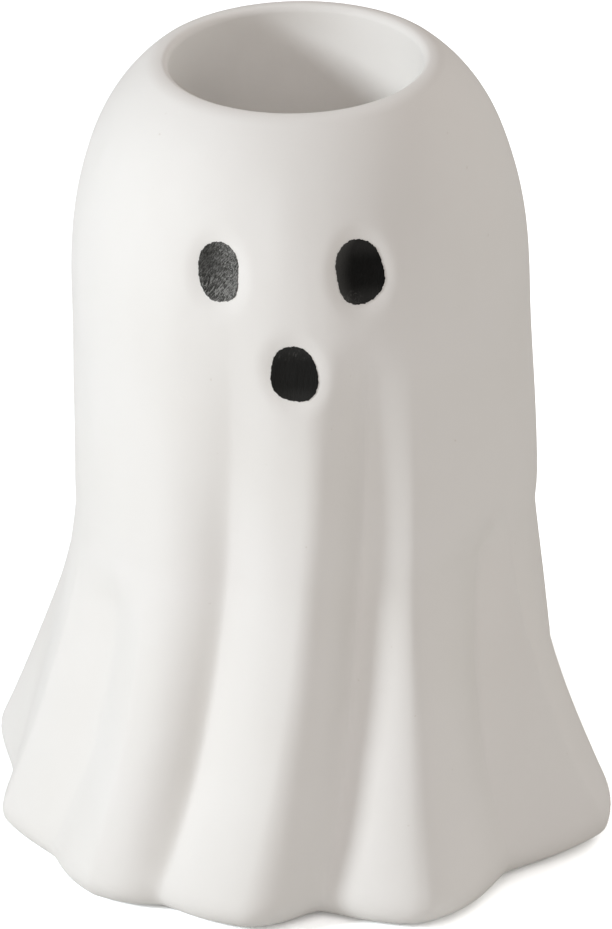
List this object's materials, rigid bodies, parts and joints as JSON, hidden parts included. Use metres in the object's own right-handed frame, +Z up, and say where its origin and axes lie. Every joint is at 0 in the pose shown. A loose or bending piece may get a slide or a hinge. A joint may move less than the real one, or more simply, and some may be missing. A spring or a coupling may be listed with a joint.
{
  "type": "ghost candle holder",
  "caption": "Matt white ceramic ghost, a draped folded sheet with black eyes and mouth, that stands on its hem and holds a dinner candle in a round socket at the top.",
  "frame": {"origin": "centre of the felt pad's lower face, on the table, under the axis of the candle socket", "axes": "+Z up along the candle, the face looks along -Y, +X to the right of someone who looks at the face"},
  "size_m": [0.0598, 0.0571, 0.08],
  "materials": {
    "matt_ceramic": "matt white, smooth",
    "bare_ceramic": "unglazed, slightly rough",
    "felt": "pressed felt",
    "black_glaze": "brushed satin black"
  },
  "bodies": {
    "root": {"sheet_shell": "matt_ceramic", "candle_cup": "matt_ceramic", "base_plate": "bare_ceramic", "felt_pad": "felt", "left_eye": "black_glaze", "right_eye": "black_glaze", "mouth": "black_glaze"}
  },
  "joints": []
}
